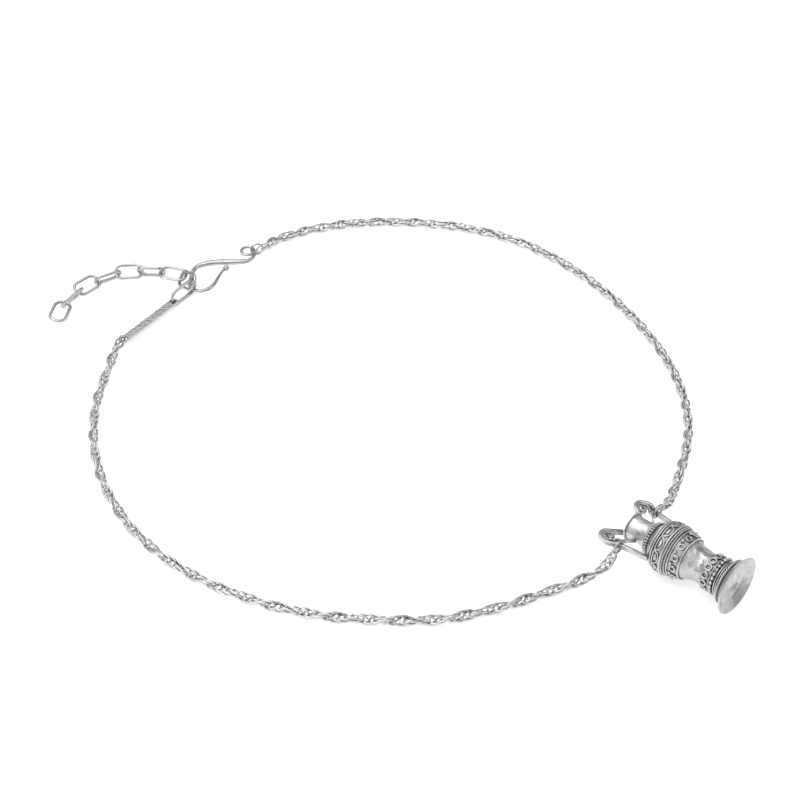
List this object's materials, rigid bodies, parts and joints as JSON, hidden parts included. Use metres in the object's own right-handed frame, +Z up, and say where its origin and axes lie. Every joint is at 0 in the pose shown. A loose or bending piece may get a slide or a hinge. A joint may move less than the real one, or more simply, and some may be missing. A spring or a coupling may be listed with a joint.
{
  "type": "amphora pendant necklace",
  "caption": "Silver necklace lying in a ring: amphora pendant with scroll handles on a rope chain, closed by a hook, tag bar and link extender.",
  "frame": {"origin": "on the table, under the middle of the box round the metal pieces (without the rope chains)", "axes": "+Z up from the table, +Y from the amphora towards the clasp, +X towards the hook's side of the chain"},
  "size_m": [0.1327, 0.1746, 0.0128],
  "materials": {
    "satin_silver": "satin",
    "oxidised_silver": "satin, darkened in the hollows",
    "bright_silver": "polished",
    "chain_silver": "polished"
  },
  "bodies": {
    "rope_chains": {"left_rope_chain": "chain_silver", "right_rope_chain": "chain_silver", "bar_end_ring": "bright_silver", "clasp_end_ring": "bright_silver"},
    "amphora_pendant": {"amphora_foot": "satin_silver", "amphora_collar": "satin_silver", "amphora_waist": "satin_silver", "amphora_belly": "satin_silver", "amphora_shoulder": "satin_silver", "amphora_neck": "satin_silver", "amphora_inner_floor": "oxidised_silver", "mouth_lip_wire": "oxidised_silver", "neck_base_granules": "oxidised_silver", "shoulder_wires": "oxidised_silver", "scallop_loops": "oxidised_silver", "scallop_domes": "oxidised_silver", "girdle_wire": "oxidised_silver", "girdle_twisted_wire": "oxidised_silver", "belly_wires": "oxidised_silver", "belly_granules": "oxidised_silver", "belly_rings": "oxidised_silver", "belly_border_wire": "oxidised_silver", "collar_rings": "oxidised_silver", "collar_wires": "oxidised_silver", "collar_beads": "oxidised_silver", "foot_twisted_wire": "oxidised_silver", "near_handle_strap": "oxidised_silver", "near_handle_ribbon": "oxidised_silver", "near_handle_granules": "oxidised_silver", "far_handle_strap": "oxidised_silver", "far_handle_ribbon": "oxidised_silver", "far_handle_granules": "oxidised_silver", "near_handle_ring": "bright_silver", "far_handle_ring": "bright_silver"},
    "hook": {"hook_clasp": "bright_silver", "hook_ball": "bright_silver"},
    "tag_bar": {"tag_bar": "bright_silver"},
    "bar_link": {"bar_link": "bright_silver"},
    "extender_link_8": {"extender_link_8": "bright_silver"},
    "extender_link_7": {"extender_link_7": "bright_silver"},
    "extender_link_6": {"extender_link_6": "bright_silver"},
    "extender_link_5": {"extender_link_5": "bright_silver"},
    "extender_link_4": {"extender_link_4": "bright_silver"},
    "extender_link_3": {"extender_link_3": "bright_silver"},
    "extender_link_2": {"extender_link_2": "bright_silver"},
    "extender_end_link": {"extender_end_link": "bright_silver"}
  },
  "joints": [
    {"name": "amphora_swing", "type": "hinge", "parent": "rope_chains", "child": "amphora_pendant", "pos_m": [0.0088, -0.06269, 0.00543], "axis": [-0.9975, -0.0289, 0.0651], "range_deg": [0, 40]},
    {"name": "hook_swivel", "type": "hinge", "parent": "rope_chains", "child": "hook", "pos_m": [0.02405, 0.06508, 0.00158], "axis": [0, 0, 1], "range_deg": [-0.4, 0.4]},
    {"name": "tag_bar_swivel", "type": "hinge", "parent": "rope_chains", "child": "tag_bar", "pos_m": [-0.01928, 0.06389, 0.0015], "axis": [0, 0, 1], "range_deg": [-0.3, 0.3]},
    {"name": "bar_link_swivel", "type": "hinge", "parent": "tag_bar", "child": "bar_link", "pos_m": [-0.00287, 0.06521, 0.00225], "axis": [0, 0, 1], "range_deg": [-0.5, 0.5]},
    {"name": "link_8_swivel", "type": "hinge", "parent": "bar_link", "child": "extender_link_8", "pos_m": [0.00511, 0.06585, 0.00225], "axis": [0, 0, 1], "range_deg": [-0.8, 0.8]},
    {"name": "link_7_swivel", "type": "hinge", "parent": "extender_link_8", "child": "extender_link_7", "pos_m": [0.00485, 0.07057, 0.00164], "axis": [0, 0, 1], "range_deg": [-1.2, 1.2]},
    {"name": "link_6_swivel", "type": "hinge", "parent": "extender_link_7", "child": "extender_link_6", "pos_m": [0.00334, 0.07465, 0.00205], "axis": [0, 0, 1], "range_deg": [-12, 8]},
    {"name": "link_5_swivel", "type": "hinge", "parent": "extender_link_6", "child": "extender_link_5", "pos_m": [-0.00066, 0.07957, 0.00207], "axis": [0, 0, 1], "range_deg": [-12, 8]},
    {"name": "link_4_swivel", "type": "hinge", "parent": "extender_link_5", "child": "extender_link_4", "pos_m": [-0.00414, 0.08228, 0.00203], "axis": [0, 0, 1], "range_deg": [-15, 8]},
    {"name": "link_3_swivel", "type": "hinge", "parent": "extender_link_4", "child": "extender_link_3", "pos_m": [-0.01018, 0.08426, 0.00205], "axis": [0, 0, 1], "range_deg": [-15, 8]},
    {"name": "link_2_swivel", "type": "hinge", "parent": "extender_link_3", "child": "extender_link_2", "pos_m": [-0.01459, 0.08434, 0.00196], "axis": [0, 0, 1], "range_deg": [-18, 10]},
    {"name": "end_link_swivel", "type": "hinge", "parent": "extender_link_2", "child": "extender_end_link", "pos_m": [-0.02089, 0.08356, 0.0019], "axis": [0, 0, 1], "range_deg": [-18, 10]}
  ]
}
